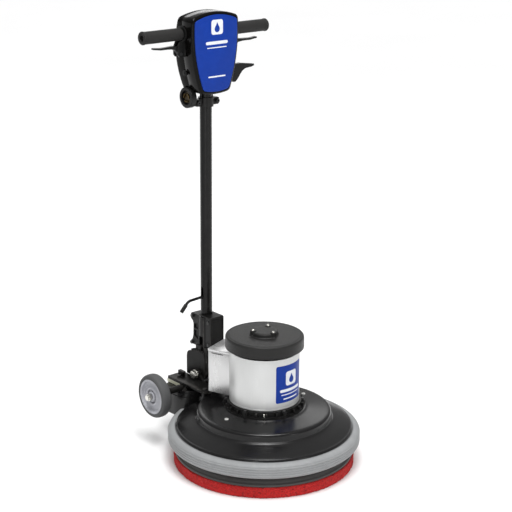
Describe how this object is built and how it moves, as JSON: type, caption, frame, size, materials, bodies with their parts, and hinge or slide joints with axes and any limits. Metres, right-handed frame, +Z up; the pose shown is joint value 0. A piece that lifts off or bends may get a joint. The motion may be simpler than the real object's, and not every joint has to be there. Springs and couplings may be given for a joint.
{
  "type": "rotary floor machine",
  "caption": "Walk-behind rotary floor machine: a motor over a round pad and bumper, transport wheels, and a tilting handle with twin switch levers.",
  "frame": {"origin": "on the floor, on the drive axis, at the centre of the pad's underside", "axes": "+Z up along the drive axis, +Y forward from the handle towards the motor, +X to the operator's right"},
  "size_m": [0.54, 0.6039, 1.2365],
  "materials": {
    "pad_red": "open non-woven fibre, red with dark flecks",
    "driver_grey": "moulded, dark grey",
    "clutch_plastic": "moulded",
    "steel": "machined",
    "steel_dark": "blackened",
    "zinc": "bright zinc plate",
    "aluminium": "cast and machined",
    "gear_nylon": "moulded nylon",
    "deck_black": "satin black over cast aluminium",
    "cast_black": "satin black over a casting",
    "cast_dark": "as cast",
    "bumper_grey": "flexible vinyl, mid grey, ribbed",
    "motor_bright": "polished stainless, fine vertical grain",
    "box_bright": "polished stainless sheet",
    "cap_black": "moulded, fine leather-grain texture",
    "can_plastic": "moulded",
    "plug_white": "ring plug",
    "plate_black": "black powder coat",
    "hub_grey": "moulded, light grey",
    "tyre_grey": "non-marking rubber, dark grey",
    "tube_black": "black powder coat",
    "head_black": "gloss black moulding",
    "panel_blue": "smooth blue panel",
    "grip_black": "soft black grip",
    "moulded_black": "black moulding",
    "brass": "plain contact metal",
    "button_black": "push button"
  },
  "bodies": {
    "base": {"deck": "deck_black", "bumper": "bumper_grey", "gear_case": "cast_dark", "bearings": "steel", "ring_gear": "steel", "end_bell": "cast_black", "end_bell_bolts": "steel_dark", "motor_shell": "motor_bright", "stator": "steel", "motor_cap": "cap_black", "cap_screws": "zinc", "capacitor_box": "box_bright", "capacitors": "can_plastic", "deck_plugs": "plug_white", "yoke": "plate_black", "yoke_bolts": "steel_dark", "sector_plates": "plate_black", "pivot_bolt": "zinc", "axle_spacers": "plate_black", "axle": "steel", "axle_nuts": "zinc"},
    "pad_assembly": {"planet_carrier": "steel", "drive_clutch": "clutch_plastic", "pad_driver": "driver_grey", "floor_pad": "pad_red"},
    "motor_rotor": {"motor_shaft": "steel", "rotor": "aluminium", "cooling_fan": "can_plastic"},
    "planet_1": {"planet_gear_1": "gear_nylon"},
    "planet_2": {"planet_gear_2": "gear_nylon"},
    "planet_3": {"planet_gear_3": "gear_nylon"},
    "wheel_right": {"wheel_hub_right": "hub_grey", "tyre_right": "tyre_grey"},
    "wheel_left": {"wheel_hub_left": "hub_grey", "tyre_left": "tyre_grey"},
    "handle": {"socket_right": "cast_black", "socket_left": "cast_black", "socket_bolts": "steel_dark", "latch_cover": "plate_black", "handle_tube": "tube_black", "head_front": "head_black", "head_rear": "head_black", "head_panel": "panel_blue", "handlebar": "tube_black", "grip_right": "grip_black", "grip_left": "grip_black", "lever_brackets": "moulded_black", "lever_pins": "steel_dark", "head_collar": "cast_black", "collar_bolts": "steel_dark", "power_inlet": "moulded_black", "inlet_blades": "brass", "switch_box": "moulded_black", "breaker": "moulded_black"},
    "release": {"release_rod": "tube_black", "pawl": "plate_black"},
    "tilt_lever_body": {"tilt_lever": "moulded_black"},
    "switch_right": {"switch_lever_right": "moulded_black"},
    "switch_left": {"switch_lever_left": "moulded_black"},
    "reset": {"reset_button": "button_black"}
  },
  "joints": [
    {"name": "pad_spin", "type": "hinge", "parent": "base", "child": "pad_assembly", "pos_m": [0, 0, 0.06], "axis": [0, 0, 1], "continuous": true},
    {"name": "motor_spin", "type": "hinge", "parent": "base", "child": "motor_rotor", "pos_m": [0, 0, 0.25], "axis": [0, 0, 1], "continuous": true},
    {"name": "planet_1_spin", "type": "hinge", "parent": "pad_assembly", "child": "planet_1", "pos_m": [0.0375, 0, 0.14], "axis": [0, 0, 1], "continuous": true},
    {"name": "planet_2_spin", "type": "hinge", "parent": "pad_assembly", "child": "planet_2", "pos_m": [-0.01875, 0.03248, 0.14], "axis": [0, 0, 1], "continuous": true},
    {"name": "planet_3_spin", "type": "hinge", "parent": "pad_assembly", "child": "planet_3", "pos_m": [-0.01875, -0.03248, 0.14], "axis": [0, 0, 1], "continuous": true},
    {"name": "wheel_right_spin", "type": "hinge", "parent": "base", "child": "wheel_right", "pos_m": [0.18, -0.269, 0.152], "axis": [1, 0, 0], "continuous": true},
    {"name": "wheel_left_spin", "type": "hinge", "parent": "base", "child": "wheel_left", "pos_m": [-0.18, -0.269, 0.152], "axis": [1, 0, 0], "continuous": true},
    {"name": "handle_tilt", "type": "hinge", "parent": "base", "child": "handle", "pos_m": [0, -0.262, 0.184], "axis": [1, 0, 0], "range_deg": [0, 70]},
    {"name": "release_slide", "type": "slide", "parent": "handle", "child": "release", "axis": [0, 0, 1], "range_m": [0, 0.018], "stiffness_N_per_m": 600, "springref_m": -0.01},
    {"name": "tilt_lever_pivot", "type": "hinge", "parent": "handle", "child": "tilt_lever_body", "pos_m": [-0.088, -0.257, 1.046], "axis": [0, 1, 0], "range_deg": [0, 18.1]},
    {"name": "switch_right_pivot", "type": "hinge", "parent": "handle", "child": "switch_right", "pos_m": [0.092, -0.257, 1.126], "axis": [0, -1, 0], "range_deg": [0, 6.5], "stiffness_Nm_per_rad": 1.5, "springref_deg": -5.73},
    {"name": "switch_left_pivot", "type": "hinge", "parent": "handle", "child": "switch_left", "pos_m": [-0.092, -0.257, 1.126], "axis": [0, 1, 0], "range_deg": [0, 6.5], "stiffness_Nm_per_rad": 1.5, "springref_deg": -5.73},
    {"name": "reset_press", "type": "slide", "parent": "handle", "child": "reset", "axis": [-1, 0, 0], "range_m": [0, 0.002], "stiffness_N_per_m": 900, "springref_m": -0.001}
  ],
  "couplings": [
    {"joint": "motor_spin", "follows": "pad_spin", "ratio": 10},
    {"joint": "planet_1_spin", "follows": "pad_spin", "ratio": -2.25},
    {"joint": "planet_2_spin", "follows": "pad_spin", "ratio": -2.25},
    {"joint": "planet_3_spin", "follows": "pad_spin", "ratio": -2.25},
    {"joint": "tilt_lever_pivot", "follows": "release_slide", "rad_per_m": 17.45}
  ]
}
